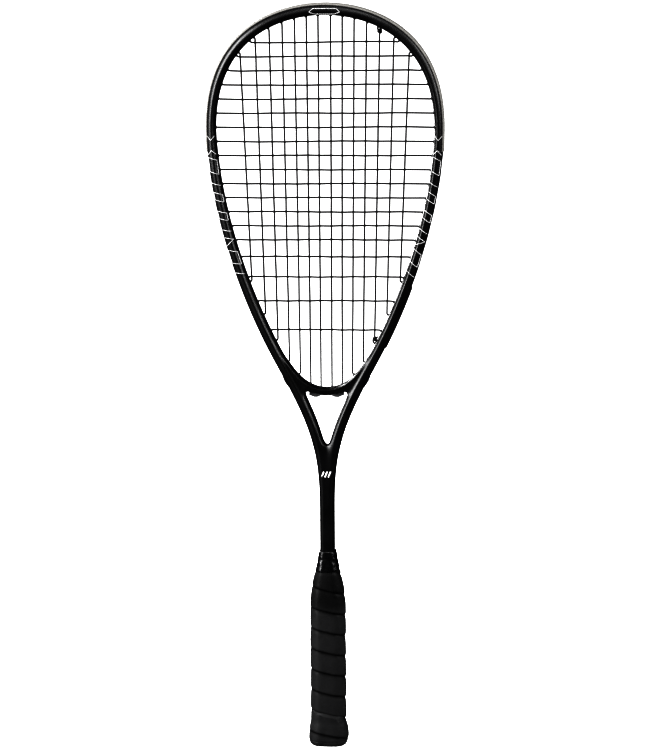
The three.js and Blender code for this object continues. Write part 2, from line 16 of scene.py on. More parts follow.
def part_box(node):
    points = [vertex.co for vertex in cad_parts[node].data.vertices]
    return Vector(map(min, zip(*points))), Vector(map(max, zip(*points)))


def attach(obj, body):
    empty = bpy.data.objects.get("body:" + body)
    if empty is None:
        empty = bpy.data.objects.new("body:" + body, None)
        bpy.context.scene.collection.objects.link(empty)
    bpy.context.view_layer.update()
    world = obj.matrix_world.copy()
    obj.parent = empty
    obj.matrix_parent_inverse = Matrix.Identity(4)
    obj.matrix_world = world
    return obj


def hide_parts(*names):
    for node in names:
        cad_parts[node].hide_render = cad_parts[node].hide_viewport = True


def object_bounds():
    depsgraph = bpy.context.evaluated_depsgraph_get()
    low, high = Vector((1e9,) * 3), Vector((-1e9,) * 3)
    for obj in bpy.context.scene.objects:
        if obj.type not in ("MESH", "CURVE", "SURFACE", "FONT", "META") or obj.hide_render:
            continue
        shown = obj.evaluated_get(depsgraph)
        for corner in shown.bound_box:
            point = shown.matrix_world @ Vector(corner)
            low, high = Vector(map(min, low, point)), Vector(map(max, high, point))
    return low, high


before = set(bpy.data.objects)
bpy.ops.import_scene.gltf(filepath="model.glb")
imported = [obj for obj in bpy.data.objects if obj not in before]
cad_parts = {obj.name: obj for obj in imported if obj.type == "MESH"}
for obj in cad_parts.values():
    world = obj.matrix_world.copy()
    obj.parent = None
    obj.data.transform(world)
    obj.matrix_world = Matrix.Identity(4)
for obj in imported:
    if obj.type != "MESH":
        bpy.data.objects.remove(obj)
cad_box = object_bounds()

scene = bpy.context.scene

# ---- Camera -------------------------------------------------------------------------------------
# A long lens three metres away, a little above the racket and to its right, aimed at its middle.
# The racket leans by a third of a degree in the view.

view_distance = 3.0
view_azimuth = math.radians(6)
view_elevation = math.radians(8)
view_lean = math.radians(-0.38)
view_lens = 157.3

lowest, highest = (Vector(corner) for corner in cad_box)
middle = (lowest + highest) / 2
away = Vector((
    math.sin(view_azimuth) * math.cos(view_elevation),
    -math.cos(view_azimuth) * math.cos(view_elevation),
    math.sin(view_elevation),
))
aim_shift = Vector((-0.0014, 0, 0.0034))
aim = middle + aim_shift
camera_data = bpy.data.cameras.new("view")
camera_data.lens = view_lens
camera_data.clip_end = 500
camera = bpy.data.objects.new("view", camera_data)
scene.collection.objects.link(camera)
turn = away.to_track_quat("Z", "Y").to_matrix().to_4x4()
lean = Matrix.Rotation(view_lean, 4, "Z")
camera.matrix_world = Matrix.Translation(aim + away * view_distance) @ turn @ lean
scene.camera = camera

# ---- Studio floor -------------------------------------------------------------------------------
# A wide sheet of white paper under the racket. It glows a little, so that it stays white far away.


def finish(name, colour, roughness, **sockets):
    """A Principled material. Further sockets are constants, named with _ for a space."""
    material = bpy.data.materials.new(name)
    material.use_nodes = True
    shader = material.node_tree.nodes["Principled BSDF"]
    shader.inputs["Base Color"].default_value = (*colour, 1)
    shader.inputs["Roughness"].default_value = roughness
    for socket, value in sockets.items():
        shader.inputs[socket.replace("_", " ")].default_value = value
    return material


floor_half = 150.0
floor_mesh = bpy.data.meshes.new("studio_floor")
floor_corners = [(-1, -1), (1, -1), (1, 1), (-1, 1)]
floor_mesh.from_pydata([(x * floor_half, y * floor_half, 0) for x, y in floor_corners], [], [(0, 1, 2, 3)])
floor = bpy.data.objects.new("studio_floor", floor_mesh)
scene.collection.objects.link(floor)
paper = finish("studio_paper", (0.9, 0.9, 0.9), 0.9, Specular_IOR_Level=0.0,
               Emission_Color=(1, 1, 1, 1), Emission_Strength=0.95)
floor_mesh.materials.append(paper)
floor.visible_glossy = False

# ---- Studio light -------------------------------------------------------------------------------
# Two tall soft boxes draw the highlight lines along the frame's ridges, a top light lifts the grip,
# and one more lights the back. Only the boxes show in the lacquer, so that the black stays black.

world = bpy.data.worlds.new("room")
world.use_nodes = True
world.node_tree.nodes["Background"].inputs["Color"].default_value = (1, 1, 1, 1)
world.node_tree.nodes["Background"].inputs["Strength"].default_value = 0.9
world.cycles_visibility.glossy = False
scene.world = world
scene.view_settings.view_transform = "Standard"
scene.view_settings.gamma = 0.5


def soft_box(name, place, width, height, power):
    """An area light that faces the racket's middle."""
    data = bpy.data.lights.new(name, "AREA")
    data.shape = "RECTANGLE"
    data.size = width
    data.size_y = height
    data.energy = power
    light = bpy.data.objects.new(name, data)
    direction = Vector(place) - middle
    turned = direction.to_track_quat("Z", "Y").to_matrix().to_4x4()
    light.matrix_world = Matrix.Translation(Vector(place)) @ turned
    scene.collection.objects.link(light)


soft_box("left_box", (-1.75, -1.0, 1.2), 0.8, 1.9, 165)
soft_box("right_box", (2.1, -0.45, 1.5), 0.8, 1.8, 75)
soft_box("top_box", (0.2, -0.9, 2.4), 1.6, 0.6, 34)
soft_box("back_box", (-1.5, 1.9, 1.3), 0.8, 1.8, 80)

# ---- Frame --------------------------------------------------------------------------------------
# One moulding of carbon fibre: a tube bent like a hairpin makes the hoop, the arms and the shaft, and
# a bridge is moulded in between the arms. It has a soft ridge front and back, a groove for the strings
# round the outside of the head, and satin black lacquer.

racket_length = (highest.z - lowest.z) * 1000
head_width = (highest.x - lowest.x) * 1000
half_width_table = ([235, 283, 335, 400, 548, 565, 590, 684], [3.3, 4.95, 4.95, 4.7, 4.4, 3.9, 3.9, 4.8])
widest_height = 572
half_depth_table = ([235, 335, 400, 684], [9.5, 10, 9.4, 9.2])
bumper_proud_top = 1.3
bumper_proud_ends = 0.7
fit_gap = 0.3

hoop_top = racket_length - bumper_proud_top - fit_gap - half_width_table[1][-1]
hoop_side = head_width / 2 - bumper_proud_ends - fit_gap - np.interp(widest_height, *half_width_table)
arm_lean = np.array([0.56, 1]) / math.hypot(0.56, 1)
shaft_top = np.array([half_width_table[1][0], 235.0])
arm_bend = np.array([39.6, 354.8])
widest = np.array([hoop_side, widest_height])
tip = np.array([0.0, hoop_top])
leg_handles = [
    (shaft_top, shaft_top + [0, 44], arm_bend - 62 * arm_lean, arm_bend),
    (arm_bend, arm_bend + 93 * arm_lean, widest - [0, 50], widest),
    (widest, widest + [0, 84], tip + [43, 0], tip),
]


def bezier(handles, t):
    a, b, c, d = handles
    return (1 - t) ** 3 * a + 3 * (1 - t) ** 2 * t * b + 3 * (1 - t) * t * t * c + t ** 3 * d


samples = [bezier(handles, t) for handles in leg_handles for t in np.linspace(0, 1, 400)]
leg_line = np.array([samples[0]] + [b for a, b in zip(samples, samples[1:]) if np.any(a != b)])
leg_steps = np.hypot(*np.diff(leg_line, axis=0).T)
leg_reach = np.concatenate([[0], np.cumsum(leg_steps)])
leg_length = leg_reach[-1]


def leg_at(q):
    """The centreline's x and z: q runs from 0 at the shaft to 1 at the tip."""
    reach = q * leg_length
    return np.array([np.interp(reach, leg_reach, column) for column in leg_line.T])


tangent_step = 2e-3


class Spot:
    """A place on the hairpin: q runs 0 to 1 up the right leg and 1 to 2 down the left leg."""

    def __init__(self, q):
        along = min(q, 2 - q)
        before, after = leg_at(max(along - tangent_step, 0)), leg_at(min(along + tangent_step, 1))
        tangent = (after - before) / np.hypot(*(after - before))
        if along > 1 - tangent_step:
            tangent = np.array([-1.0, 0.0])
        if along == 0:
            tangent = np.array([0.0, 1.0])
        side = 1 if q <= 1 else -1
        x, z = leg_at(along)
        self.q = q
        self.centre = np.array([side * x, 0, z])
        self.outward = np.array([side * tangent[1], 0, -tangent[0]])
        self.width = np.interp(z, *half_width_table)
        self.depth = np.interp(z, *half_depth_table)

    def at(self, across, deep):
        return self.centre + self.outward * across + np.array([0, deep, 0])


def crossing(rising, low, high):
    """Where an increasing function passes zero."""
    for _ in range(40):
        half = (low + high) / 2
        low, high = (half, high) if rising(half) < 0 else (low, half)
    return (low + high) / 2


def q_at_height(z):
    return crossing(lambda q: leg_at(q)[1] - z, 0, 1)


def make_piece(name, points, faces, smooth=True):
    """A mesh object from millimetre points, with its faces turned outwards."""
    mesh = bpy.data.meshes.new(name)
    mesh.from_pydata([tuple(float(v) * 0.001 for v in point) for point in points], [], faces)
    editing = bmesh.new()
    editing.from_mesh(mesh)
    bmesh.ops.recalc_face_normals(editing, faces=editing.faces)
    editing.to_mesh(mesh)
    editing.free()
    mesh.polygons.foreach_set("use_smooth", [smooth] * len(mesh.polygons))
    piece = bpy.data.objects.new(name, mesh)
    scene.collection.objects.link(piece)
    return piece


def settle(piece, material, slot, *nodes):
    """Give a piece its material, attach it to the root body and hide the CAD nodes it stands for. The slot is
    not used.
    """
    piece.data.materials.append(material)
    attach(piece, "root")
    if nodes:
        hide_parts(*nodes)
    return piece


# Control points of half a section, from the middle of the inner side to the outer side: shares of the
# half width and the half depth. The fourth is the ridge, and the last two are the lip and the groove.
shaft_half = [
    (-1, 0.3), (-0.9, 0.9), (-0.34, 1.0), (0.1, 0.98),
    (0.56, 0.86), (0.92, 0.62), (1.02, 0.36), (1.02, 0.12),
]
arm_half = [
    (-1.02, 0.22), (-0.97, 0.6), (-0.66, 0.87), (-0.2, 1.03),
    (0.42, 0.9), (0.9, 0.64), (1.03, 0.38), (1.03, 0.13),
]
hoop_half = [
    (-1.02, 0.22), (-0.97, 0.58), (-0.66, 0.85), (-0.2, 1.03),
    (0.42, 0.91), (0.9, 0.69), (1.02, 0.45), (0.5, 0.38),
]
ridge_line = 3
lip_line = 6
groove_line = 7
half_count = 8


def smoothstep(value, low, high):
    share = min(max((value - low) / (high - low), 0), 1)
    return share * share * (3 - 2 * share)


def blend(first, second, share):
    return [(a + (c - a) * share, b + (d - b) * share) for (a, b), (c, d) in zip(first, second)]


def section_half(z):
    lower = blend(shaft_half, arm_half, smoothstep(z, 240, 325))
    return blend(lower, hoop_half, smoothstep(z, 338, 348))


points = []
lines = []


def add_point(point, line=None):
    points.append(np.array(point, float))
    lines.append(line)
    return len(points) - 1


# Rings of each leg from the crotch to the tip. A ring holds 16 points: front inner to outer, then back.
low_ring_heights = [279, 284, 290, 299, 311, 324, 333, 342, 351, 361]
hoop_rings = 40
first_hoop_q = q_at_height(low_ring_heights[-1])
ring_places = [q_at_height(z) for z in low_ring_heights]
ring_places += list(np.linspace(first_hoop_q, 1, hoop_rings + 1)[1:])
crotch_heights = {0: 279.2, 1: 280.6}
crotch_deep = {0: 0.25, 1: 0.72}

crotch_points = {}
legs = {}
for side in (1, -1):
    legs[side] = []
    for number, q in enumerate(ring_places):
        if side < 0 and q == 1:
            legs[side].append(legs[1][-1])
            continue
        spot = Spot(q if side > 0 else 2 - q)
        half = section_half(spot.centre[2])
        ring = []
        for face in (-1, 1):
            row = []
            for line, (across, deep) in enumerate(half):
                if number == 0 and line < 2:
                    key = (line, face)
                    if key not in crotch_points:
                        spread_y = face * crotch_deep[line] * spot.depth
                        crotch_points[key] = add_point((0, spread_y, crotch_heights[line]))
                    row.append(crotch_points[key])
                    continue
                point = spot.at(across * spot.width, face * deep * spot.depth)
                row.append(add_point(point, (face, line)))
            ring += row if face < 0 else row[::-1]
        legs[side].append(ring)

# The bridge enters each arm through a window in the arm's inner side.
window_rings = (5, 9)
window_lines = 3
frame_faces = []
for side in (1, -1):
    for number in range(len(ring_places) - 1):
        low_ring, high_ring = legs[side][number], legs[side][number + 1]
        for k in range(2 * half_count):
            line = min(k, 2 * half_count - 1 - k)
            following = (k + 1) % (2 * half_count)
            line_after = min(following, 2 * half_count - 1 - following)
            in_window = window_rings[0] <= number < window_rings[1]
            if in_window and max(line, line_after) < window_lines:
                continue
            frame_faces.append((low_ring[k], low_ring[following], high_ring[following], high_ring[k]))


def window(side):
    """The window's rim, from its top front corner over the top, down the back and up the front."""
    rings = legs[side]
    top = rings[window_rings[1]]
    bottom = rings[window_rings[0]]
    between = [rings[k] for k in range(window_rings[1] - 1, window_rings[0], -1)]
    front = list(range(window_lines - 1, -1, -1))
    back = [2 * half_count - 1 - line for line in range(window_lines)]
    rim = [top[k] for k in front + back]
    rim += [ring[back[-1]] for ring in between]
    rim += [bottom[k] for k in (front + back)[::-1]]
    rim += [ring[front[0]] for ring in between[::-1]]
    return rim


bridge_top = 334.4
bridge_bottom = 327.6
bridge_depth = 8.7
bridge_upper = [np.array(p) for p in ((0, bridge_top), (17, bridge_top), (28, 346), (38, 363.5))]
bridge_lower = [np.array(p) for p in ((0, bridge_bottom), (12, bridge_bottom), (22.5, 336.5), (19.2, 325))]
row_deep = (-0.9, -0.6, -0.2, 0.2, 0.6, 0.9)
row_drop = (1.3, 0.35, 0, 0, 0.35, 1.3)
side_heights = (0.74, 0.48, 0.22)
side_deep = (1.06, 0.99, 0.95)
bridge_shares = (-0.88, -0.7, -0.5, -0.3, -0.1, 0.1, 0.3, 0.5, 0.7, 0.88)


def bridge_ring(share):
    side = 1 if share > 0 else -1
    upper = bezier(bridge_upper, abs(share))
    lower = bezier(bridge_lower, abs(share))
    ring = []

    def add(height, drop, deep, line=None):
        x, z = lower + (upper - lower) * height
        return add_point((side * x, deep * bridge_depth, z + drop), line)

    ring += [add(1, -drop, deep) for deep, drop in zip(row_deep, row_drop)]
    ring += [add(h, 0, d, ("bridge", 1, h)) for h, d in zip(side_heights, side_deep)]
    ring += [add(0, drop, deep) for deep, drop in zip(row_deep[::-1], row_drop)]
    ring += [add(h, 0, -d, ("bridge", -1, h)) for h, d in zip(side_heights[::-1], side_deep[::-1])]
    return ring


bridge_rings = [window(-1)] + [bridge_ring(share) for share in bridge_shares] + [window(1)]
for left_ring, right_ring in zip(bridge_rings, bridge_rings[1:]):
    count = len(left_ring)
    for k in range(count):
        after = (k + 1) % count
        frame_faces.append((left_ring[k], left_ring[after], right_ring[after], right_ring[k]))

# The shaft: the two legs' outer sides joined by a middle line front and back.
shaft_heights = [270, 259, 246, 232, 205, 180, 120, 60, 6, 4]


def whole_ring(right, left, front_middle, back_middle):
    """Round the whole shaft: front middle, right side to the back, back middle, left side to the front."""
    inner = 2
    across = slice(inner, 2 * half_count - inner)
    return [front_middle] + right[across] + [back_middle] + left[across][::-1]


shaft_rings = []
for z in shaft_heights:
    spot = Spot(q_at_height(max(z, 235.01)))
    half = section_half(z)
    valley = 0.99 - 0.06 * smoothstep(z, 232, 275)
    sides = {}
    for side in (1, -1):
        rows = []
        for face in (-1, 1):
            row = []
            for line, (across, deep) in enumerate(half):
                x = side * (spot.centre[0] + across * spot.width)
                row.append(add_point((x, face * deep * spot.depth, z), (face, line)) if line > 1 else None)
            rows.append(row if face < 0 else row[::-1])
        sides[side] = rows[0] + rows[1]
    front_middle = add_point((0, -valley * spot.depth, z))
    back_middle = add_point((0, valley * spot.depth, z))
    shaft_rings.append(whole_ring(sides[1], sides[-1], front_middle, back_middle))

crotch_ring = whole_ring(legs[1][0], legs[-1][0], crotch_points[(1, -1)], crotch_points[(1, 1)])
for upper_ring, lower_ring in zip([crotch_ring] + shaft_rings, shaft_rings):
    count = len(upper_ring)
    for k in range(count):
        after = (k + 1) % count
        frame_faces.append((upper_ring[k], upper_ring[after], lower_ring[after], lower_ring[k]))
frame_faces.append(tuple(shaft_rings[-1]))

frame_piece = make_piece("carbon_frame", points, frame_faces)
crease = frame_piece.data.attributes.new("crease_edge", "FLOAT", "EDGE")
line_creases = {ridge_line: 0.3, lip_line: 0.75, groove_line: 0.6}
for edge in frame_piece.data.edges:
    first, second = (lines[v] for v in edge.vertices)
    if first is None or first != second:
        continue
    if first[0] == "bridge":
        crease.data[edge.index].value = 0.3 if first[2] == side_heights[0] else 0
        continue
    in_groove = min(points[v][2] for v in edge.vertices) > 338
    if first[1] == ridge_line or in_groove:
        crease.data[edge.index].value = line_creases.get(first[1], 0)
surface = frame_piece.modifiers.new("surface", "SUBSURF")
surface.levels = 2
surface.render_levels = 2


def node(material, kind, settings=None, **inputs):
    """A node of that kind; an input is a number, a tuple or another node's output."""
    made = material.node_tree.nodes.new("ShaderNode" + kind)
    for key, value in (settings or {}).items():
        setattr(made, key, value)
    for key, value in inputs.items():
        socket = made.inputs[key.replace("_", " ")]
        if isinstance(value, bpy.types.NodeSocket):
            material.node_tree.links.new(value, socket)
        else:
            socket.default_value = value
    return made


def feed(material, output, socket):
    """Link an output to a socket of the material's shader."""
    shader = material.node_tree.nodes["Principled BSDF"]
    material.node_tree.links.new(output, shader.inputs[socket])


def place_in(material):
    """Coordinates in metres, fixed to the racket."""
    return node(material, "TexCoord").outputs["Object"]


def noise(material, scale, detail=3.0, roughness=0.5, vector=None):
    where = vector if vector is not None else place_in(material)
    made = node(material, "TexNoise", Vector=where, Scale=scale, Detail=detail, Roughness=roughness)
    return made.outputs["Fac"]


def spread(material, value, low, high, start=0.3, end=0.7):
    """Map a texture's middle range to low..high."""
    inputs = {"Value": value, "From_Min": start, "From_Max": end, "To_Min": low, "To_Max": high}
    return node(material, "MapRange", **inputs).outputs["Result"]


def shades(material, value, dark, light, start=0.3, end=0.7):
    """Blend two colours by a texture's value, and use it as the base colour."""
    ramp = node(material, "ValToRGB", Fac=value)
    ramp.color_ramp.elements[0].position = start
    ramp.color_ramp.elements[0].color = (*dark, 1)
    ramp.color_ramp.elements[1].position = end
    ramp.color_ramp.elements[1].color = (*light, 1)
    feed(material, ramp.outputs["Color"], "Base Color")


def relief(material, *layers):
    """Stack bumps on the surface: each layer is a height texture and its depth in metres."""
    normal = None
    for height, depth in layers:
        bump = node(material, "Bump", Height=height, Distance=depth, Strength=1.0)
        if normal is not None:
            material.node_tree.links.new(normal, bump.inputs["Normal"])
        normal = bump.outputs["Normal"]
    feed(material, normal, "Normal")


lacquer = finish("satin_black_lacquer", (0.006, 0.006, 0.0065), 0.34, Coat_Weight=0.15, Coat_Roughness=0.3,
                 Specular_IOR_Level=0.4)
shades(lacquer, noise(lacquer, 60, 4), (0.0018, 0.0018, 0.002), (0.0045, 0.0045, 0.005))
smudge = noise(lacquer, 35, 5, 0.6)
feed(lacquer, spread(lacquer, smudge, 0.33, 0.46), "Roughness")
relief(lacquer, (noise(lacquer, 700, 2), 0.00002), (noise(lacquer, 2600, 1), 0.000006))
settle(frame_piece, lacquer, "frame_lacquer", "frame_tube", "throat_bridge")

# ---- Places of the string holes -----------------------------------------------------------------
# Fourteen mains fan a little towards the throat. Nineteen crosses are even down to the fifteenth, then
# open out. Each hole is square to the tube, and opens into the groove outside the hoop.

mains_per_side = 7
cross_count = 19
string_radius = 0.78
strip_floor = 0.8
groove_share = 0.45
barrel_reach = 1.0
root_reach = 3.2
narrowing = 0.885
bridge_channel = bridge_bottom + 2.2 - fit_gap - strip_floor - fit_gap - string_radius


def floor_of(spot):
    return groove_share * spot.width + fit_gap


def channel_of(spot):
    return floor_of(spot) + strip_floor + fit_gap + string_radius


class Hole:
    """A grommet hole: the string's mouth inside the head, and its exit outside."""

    def __init__(self, q, extra=0.0):
        spot = Spot(q)
        self.q = q
        self.mouth = spot.at(-spot.width - barrel_reach - 1 - extra, 0)
        self.exit = spot.at(channel_of(spot), 0)
        self.barrel = (spot.at(floor_of(spot), 0), spot.at(-spot.width - barrel_reach - extra, 0))


class BridgeHole:
    """A grommet hole straight up through the bridge."""

    def __init__(self, x):
        t = crossing(lambda value: bezier(bridge_upper, value)[0] - abs(x), 0, 1)
        edge = bezier(bridge_upper, t)[1]
        self.q = None
        self.mouth = np.array([x, 0, edge + barrel_reach + 1])
        self.exit = np.array([x, 0, bridge_channel])
        self.barrel = (np.array([x, 0, bridge_bottom]), np.array([x, 0, edge + barrel_reach]))


first_main = 5.7
main_pitch = 10.55
main_fan = 0.036


def main_x(number):
    """The mains' places at the top, counted outwards from the middle."""
    return first_main + main_pitch * number + main_fan * number ** 3


q_widest = q_at_height(widest[1] - 0.1)


def to_side(q, side):
    return q if side > 0 else 2 - q


def top_hole(number, side):
    q = crossing(lambda value: main_x(number) - Hole(value).mouth[0], q_widest, 1)
    return Hole(to_side(q, side))


def bottom_hole(number, side):
    x = main_x(number) * narrowing
    if number < 2:
        return BridgeHole(side * x)
    extra = root_reach if number == 2 else 0
    q = crossing(lambda value: Hole(value, extra).mouth[0] - x, 0, q_widest)
    return Hole(to_side(q, side), extra)


mains = {}
for side in (1, -1):
    mains[side] = [(top_hole(number, side), bottom_hole(number, side)) for number in range(mains_per_side)]

cross_heights = [649.3]
cross_pitch = 12.8
even_crosses = 14
opening_out = 1.2
while len(cross_heights) < cross_count:
    if len(cross_heights) > even_crosses:
        cross_pitch *= opening_out
    cross_heights.append(cross_heights[-1] - cross_pitch)

crosses = []
for z in cross_heights:
    q = crossing(lambda value: Hole(value).mouth[2] - z, 0.15, 1)
    crosses.append({1: Hole(q), -1: Hole(2 - q)})

tied_main = 4
tie_spacing = 2.6 / leg_length
top_tie = Hole(mains[1][tied_main][0].q + tie_spacing)
bottom_tie = Hole(mains[1][tied_main][1].q - tie_spacing)

all_holes = [hole for side in (1, -1) for pair in mains[side] for hole in pair]
all_holes += [cross[side] for cross in crosses for side in (1, -1)] + [top_tie, bottom_tie]
hoop_holes = [hole for hole in all_holes if hole.q is not None]
bridge_holes = [hole for hole in all_holes if hole.q is None]

# ---- Bumper guard -------------------------------------------------------------------------------
# A nylon strip clipped over the top of the head, with a channel that shields the string's loops. Its
# grommet barrels go through the hoop and stand a little proud inside.


def skin(rings, closed=False):
    """Faces over rings of point indices, with flat ends unless the rings close on themselves."""
    faces = []
    pairs = list(zip(rings, rings[1:]))
    if closed:
        pairs.append((rings[-1], rings[0]))
    for low, high in pairs:
        for k in range(len(low)):
            after = (k + 1) % len(low)
            faces.append((low[k], low[after], high[after], high[k]))
    if not closed:
        faces += [tuple(rings[0]), tuple(rings[-1][::-1])]
    return faces


class Body:
    """Points and faces of one piece, put together from rings."""

    def __init__(self):
        self.points = []
        self.faces = []

    def ring(self, points):
        start = len(self.points)
        self.points += list(points)
        return list(range(start, len(self.points)))

    def loft(self, rings, closed=False):
        self.faces += skin([self.ring(ring) for ring in rings], closed)


def rounded(outline, cut=0.28):
    """Cut each corner of a closed outline once, which doubles its points."""
    result = []
    for k, here in enumerate(outline):
        before, after = outline[k - 1], outline[(k + 1) % len(outline)]
        result.append(tuple(h + (b - h) * cut for h, b in zip(here, before)))
        result.append(tuple(h + (a - h) * cut for h, a in zip(here, after)))
    return result


def both_faces(half):
    return half + [(across, -deep) for across, deep in half[::-1]]


def circle_frame(axis):
    """Two directions square to an axis."""
    axis = axis / np.linalg.norm(axis)
    first = np.cross(axis, [0, 1, 0]) if abs(axis[1]) < 0.9 else np.cross(axis, [1, 0, 0])
    first = first / np.linalg.norm(first)
    return first, np.cross(axis, first)


def add_barrel(body, start, end, outer=1.35, bore=0.84, sides=16):
    """A round grommet barrel with a softened mouth, open through its middle."""
    axis = (end - start) / np.linalg.norm(end - start)
    first, second = circle_frame(axis)
    profile = [
        (start, outer), (end - axis * 0.35, outer), (end - axis * 0.1, outer - 0.12), (end, outer - 0.38),
        (end - axis * 0.12, bore + 0.12), (end - axis * 0.5, bore), (start, bore),
    ]
    angles = [2 * math.pi * k / sides for k in range(sides)]
    rings = []
    for centre, radius in profile:
        rings.append([centre + radius * (first * math.cos(a) + second * math.sin(a)) for a in angles])
    body.loft(rings, closed=True)


bumper_foot = 551
bumper_end = q_at_height(bumper_foot)
bumper_rings = 150


def bumper_section(spot):
    """The channel's floor, the rib over the frame's lip and the skirt that hugs the frame."""
    reach = smoothstep(spot.centre[2], bumper_foot, hoop_top)
    proud = bumper_proud_ends + (bumper_proud_top - bumper_proud_ends) * reach
    low = floor_of(spot)
    lip = spot.width + fit_gap
    half = [
        (low + strip_floor, 2.35), (lip + proud * 0.6, 2.6), (lip + proud, 3.1), (lip + proud, 4.4),
        (lip + proud * 0.55, 5.7), (0.85 * spot.width + 0.55, 6.3), (0.8 * spot.width, 6.1),
        (lip - 0.5, 3.9), (low, 3.3),
    ]
    return rounded(both_faces(half), 0.22)


# Which points of the section are painted a lighter grey, a painted highlight where the lamps glance off the
# rim: those from the rim to the skirt's edge, front and back.
section_points = 36
painted_highlight_lines = [*range(2, 12), *range(24, 34)]


def on_bumper(spot):
    return [spot.at(across, deep) for across, deep in bumper_section(spot)]


bumper = Body()
bumper_places = np.linspace(bumper_end, 2 - bumper_end, bumper_rings + 1)
bumper.loft([on_bumper(Spot(q)) for q in bumper_places])
painted_rim_highlight = [1.0 if k in painted_highlight_lines else 0.0 for k in range(section_points)] * (bumper_rings + 1)
for hole in hoop_holes:
    if bumper_end < hole.q < 2 - bumper_end:
        add_barrel(bumper, *hole.barrel)
bumper_piece = make_piece("bumper_strip", bumper.points, bumper.faces)
painted_rim_highlight += [0.0] * (len(bumper.points) - len(painted_rim_highlight))
bumper_piece.data.attributes.new("painted_rim_highlight", "FLOAT", "POINT").data.foreach_set("value", painted_rim_highlight)


def times(material, first, second):
    made = node(material, "Math", {"operation": "MULTIPLY"})
    material.node_tree.links.new(first, made.inputs[0])
    material.node_tree.links.new(second, made.inputs[1])
    return made.outputs["Value"]


def nylon_finish(name):
    """Moulded nylon with a fine grain, before its colour."""
    material = finish(name, (0.012, 0.012, 0.0125), 0.5, Specular_IOR_Level=0.45)
    feed(material, spread(material, noise(material, 240, 4), 0.42, 0.6), "Roughness")
    relief(material, (noise(material, 1800, 3), 0.00002), (noise(material, 300, 2), 0.00003))
    return material


nylon = nylon_finish("black_nylon")
shades(nylon, noise(nylon, 120, 4), (0.009, 0.009, 0.0095), (0.018, 0.018, 0.0185))
nylon_with_painted_highlight = nylon_finish("nylon_painted_rim_highlight")
painted_highlight_mask = node(nylon_with_painted_highlight, "Attribute", {"attribute_name": "painted_rim_highlight"}).outputs["Fac"]
highlight_mottle = spread(nylon_with_painted_highlight, noise(nylon_with_painted_highlight, 420, 5, 0.65), 0.85, 1.05)
# Painted highlight: the marked rim is painted up to a light grey, mottled by noise, in place of the lamps'
# glint.
shades(nylon_with_painted_highlight, times(nylon_with_painted_highlight, painted_highlight_mask, highlight_mottle), (0.012, 0.012, 0.0125), (0.14, 0.137, 0.13), 0.1, 1.0)
settle(bumper_piece, nylon_with_painted_highlight, "black_nylon", "bumper_guard")

# ---- Side grommet strips ------------------------------------------------------------------------
# Two more nylon strips fill the groove down each side of the head. Each ends at the foot of the hoop
# in a thickened tab that shows outside the frame.

strip_top = bumper_end - 1 / leg_length
strip_bottom = q_at_height(337)
tab_length = 13 / leg_length


def strip_section(spot, swell):
    low = floor_of(spot)
    lip = spot.width + 0.15 + swell
    half = [(low + strip_floor + swell, 2.35), (lip, 2.6), (lip, 3.3 + 0.5 * swell), (low, 3.3)]
    return rounded(both_faces(half), 0.25)


for side, label, cad_node in ((-1, "left", "grommet_strip_left"), (1, "right", "grommet_strip_right")):
    strip = Body()
    rings = []
    for q in np.linspace(strip_bottom, strip_top, 91):
        spot = Spot(to_side(q, side))
        swell = 0.9 * math.sin(math.pi * min((q - strip_bottom) / tab_length, 1))
        rings.append([spot.at(a, d) for a, d in strip_section(spot, swell)])
    strip.loft(rings)
    for hole in hoop_holes:
        if strip_bottom < to_side(hole.q, side) < strip_top:
            add_barrel(strip, *hole.barrel)
    strip_piece = make_piece("grommet_strip_" + label + "_skin", strip.points, strip.faces)
    settle(strip_piece, nylon, "black_nylon", cad_node)

# ---- Throat grommet strip -----------------------------------------------------------------------
# A grey nylon strip under the bridge. Two half-round cheeks on each face guard the string where it
# turns from one main to the next.

throat = Body()
plate_half = 15.8
plate_bottom = bridge_bottom - 0.35
plate_into_bridge = 2.8
plate_top = bridge_bottom + plate_into_bridge
rib_above_plate = 0.1
lobe_radius = 7.8
lobe_depth = 1.5
lobe_middle = (main_x(0) + main_x(1)) / 2 * narrowing


def lobe_drop(x, middle_x):
    inside = lobe_radius ** 2 - (abs(x) - middle_x) ** 2
    return max(math.sqrt(max(inside, 0)) - lobe_radius + lobe_depth, 0)


plate_side = 3.1
plate_corners = [(-plate_side, plate_top), (plate_side, plate_top), (plate_side, plate_bottom)]
plate_outline = rounded(plate_corners + [(-plate_side, plate_bottom)], 0.2)
throat.loft([[(x, deep, z) for deep, z in plate_outline] for x in np.linspace(-plate_half, plate_half, 12)])
for face in (-1, 1):
    rings = []
    for x in np.linspace(-plate_half, plate_half, 100):
        low = plate_bottom + rib_above_plate - lobe_drop(x, lobe_middle)
        inner, outer = face * 2.2, face * 3.15
        soft = 0.25 * face
        rings.append([
            (x, inner, plate_top), (x, outer, plate_top), (x, outer, low + 0.35),
            (x, outer - soft, low), (x, inner + soft, low), (x, inner, low + 0.35),
        ])
    throat.loft(rings)
for hole in bridge_holes:
    add_barrel(throat, *hole.barrel)

grey_nylon = finish("grey_nylon", (0.06, 0.06, 0.063), 0.42, Specular_IOR_Level=0.5)
shades(grey_nylon, noise(grey_nylon, 150, 4), (0.045, 0.045, 0.047), (0.08, 0.08, 0.083))
feed(grey_nylon, spread(grey_nylon, noise(grey_nylon, 300, 3), 0.34, 0.5), "Roughness")
relief(grey_nylon, (noise(grey_nylon, 1800, 3), 0.00002))
throat_piece = make_piece("throat_strip", throat.points, throat.faces)
settle(throat_piece, grey_nylon, "grey_nylon", "grommet_strip_throat")

